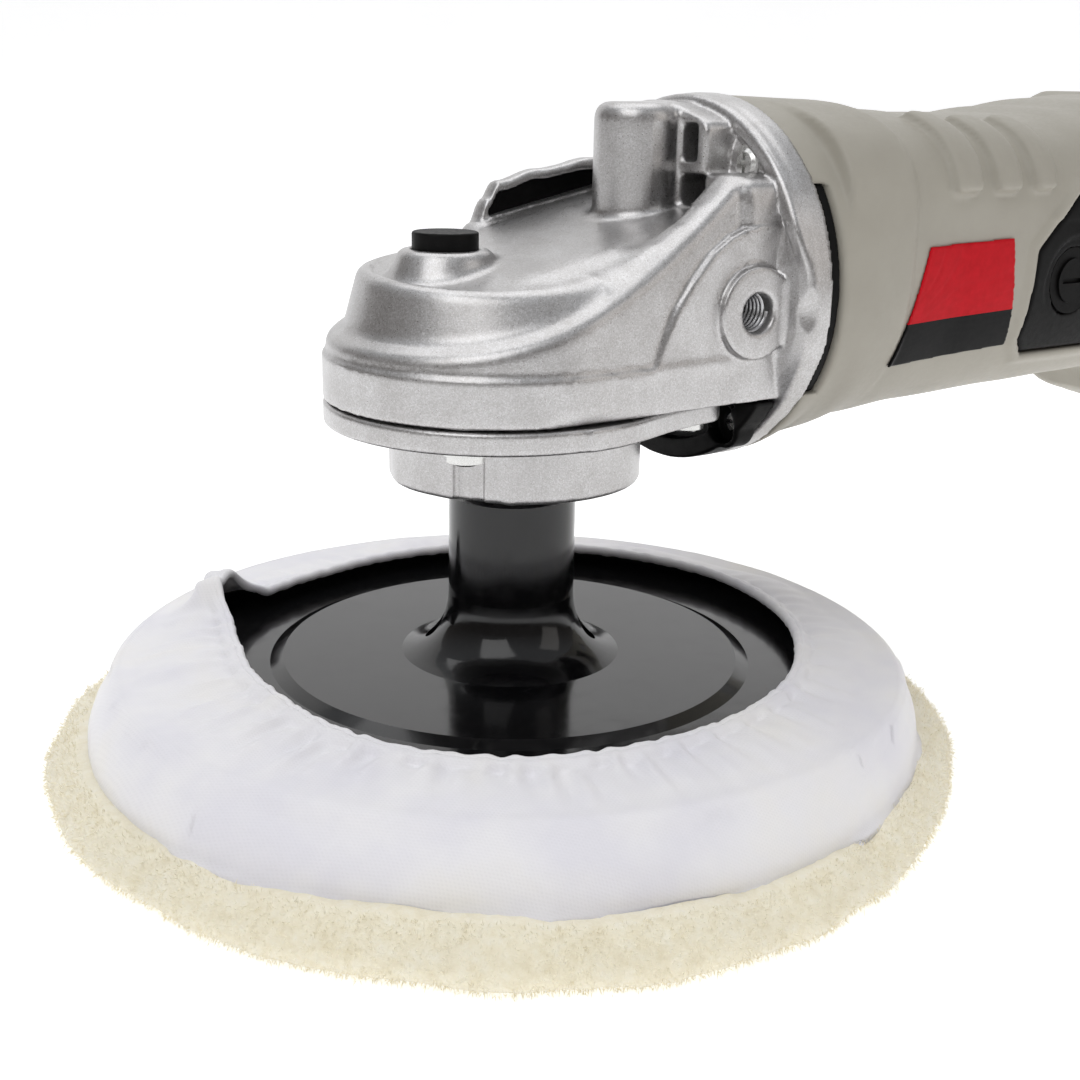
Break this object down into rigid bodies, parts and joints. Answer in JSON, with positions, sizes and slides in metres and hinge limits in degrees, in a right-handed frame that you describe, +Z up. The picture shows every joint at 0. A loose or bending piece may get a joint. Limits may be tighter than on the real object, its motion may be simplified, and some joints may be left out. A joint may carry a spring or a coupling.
{
  "type": "rotary polisher",
  "caption": "Hand-held rotary polisher: cast angle head on a cylindrical motor housing, closed rear handle, wool bonnet drawn over a round backing plate.",
  "frame": {"origin": "spindle axis at the working face of the wool pad", "axes": "+X along the motor towards the rear handle, +Z up along the spindle"},
  "size_m": [0.4485, 0.205, 0.153],
  "materials": {
    "cast_silver": "silver painted die casting, fine sparkle",
    "housing_beige": "grey-beige moulded plastic, fine texture",
    "black_plastic": "black moulded plastic",
    "gloss_black": "polished black moulding",
    "steel": "machined steel",
    "zinc_steel": "zinc plated screws",
    "bearing_steel": "ground bearing steel",
    "spring_steel": "spring wire",
    "core_steel": "laminated electrical steel",
    "copper": "enamelled copper and commutator bars",
    "brass": "brass brush tubes",
    "carbon": "pressed carbon",
    "felt": "felt seal",
    "foam": "closed-cell foam",
    "wool": "cream wool pile",
    "sleeve_fabric": "white satin-weave polyester",
    "plate_red_black": "two-colour printed plate, no lettering",
    "dial_grey": "dark moulded thumbwheel",
    "board": "circuit board"
  },
  "bodies": {
    "root": {"gear_housing": "cast_silver", "bearing_cover": "cast_silver", "cover_screws": "zinc_steel", "air_baffle": "black_plastic", "flange_screws": "zinc_steel", "motor_housing": "housing_beige", "side_vent_left": "black_plastic", "side_vent_right": "black_plastic", "name_plate_left": "plate_red_black", "name_plate_right": "plate_red_black", "brush_panel_left": "black_plastic", "brush_panel_right": "black_plastic", "brush_holders": "brass", "brush_caps": "black_plastic", "carbon_brushes": "carbon", "brush_springs": "spring_steel", "bearing_bridge": "cast_silver", "stator_core": "core_steel", "field_coils": "copper", "spindle_bearing_lower": "bearing_steel", "spindle_bearing_upper": "bearing_steel", "armature_bearing_front": "bearing_steel", "armature_bearing_rear": "bearing_steel", "countershaft_bush_lower": "bearing_steel", "countershaft_bush_upper": "bearing_steel", "spindle_seal": "felt", "bearing_circlip": "spring_steel", "handle_left": "black_plastic", "handle_right": "black_plastic", "handle_screws": "zinc_steel", "switch_body": "black_plastic", "speed_module": "board", "cord_inlet": "black_plastic", "trigger_pin": "steel"},
    "spindle_assembly": {"spindle": "steel", "spindle_gear": "steel", "gear_key": "steel", "retaining_ring": "spring_steel", "backing_plate": "gloss_black", "hub_insert": "steel", "foam_pad": "foam", "wool_pad": "wool", "bonnet_sleeve": "sleeve_fabric", "hem_elastic": "sleeve_fabric"},
    "countershaft_assembly": {"countershaft": "steel", "bevel_gear": "steel"},
    "armature": {"armature_shaft": "steel", "bevel_pinion": "steel", "pinion_nut": "steel", "armature_core": "core_steel", "armature_windings": "copper", "commutator": "copper", "cooling_fan": "black_plastic"},
    "spindle_lock": {"lock_pin": "steel", "lock_cap": "black_plastic", "lock_spring": "spring_steel"},
    "trigger": {"trigger": "black_plastic"},
    "lock_on": {"lock_on_button": "black_plastic"},
    "speed_wheel": {"speed_dial": "dial_grey"}
  },
  "joints": [
    {"name": "spindle_spin", "type": "hinge", "parent": "root", "child": "spindle_assembly", "pos_m": [0, 0, 0.0755], "axis": [0, 0, 1], "continuous": true},
    {"name": "countershaft_spin", "type": "hinge", "parent": "root", "child": "countershaft_assembly", "pos_m": [0.03125, 0, 0.09], "axis": [0, 0, 1], "continuous": true},
    {"name": "armature_spin", "type": "hinge", "parent": "root", "child": "armature", "pos_m": [0.1, 0, 0.1055], "axis": [1, 0, 0], "continuous": true},
    {"name": "lock_press", "type": "slide", "parent": "root", "child": "spindle_lock", "axis": [0, 0, -1], "range_m": [0, 0.0045], "stiffness_N_per_m": 1200, "springref_m": -0.004, "deforming": ["lock_spring"]},
    {"name": "trigger_pull", "type": "hinge", "parent": "root", "child": "trigger", "pos_m": [0.242, 0, 0.118], "axis": [0, -1, 0], "range_deg": [0, 8], "stiffness_Nm_per_rad": 0.8, "springref_deg": -8.59},
    {"name": "lock_on_press", "type": "slide", "parent": "root", "child": "lock_on", "axis": [0, 1, 0], "range_m": [0, 0.0025], "stiffness_N_per_m": 600, "springref_m": -0.002},
    {"name": "speed_turn", "type": "hinge", "parent": "root", "child": "speed_wheel", "pos_m": [0.206, 0, 0.141], "axis": [0, 1, 0], "range_deg": [0, 270]}
  ],
  "couplings": [
    {"joint": "countershaft_spin", "follows": "spindle_spin", "ratio": -4},
    {"joint": "armature_spin", "follows": "spindle_spin", "ratio": -9.3333}
  ]
}
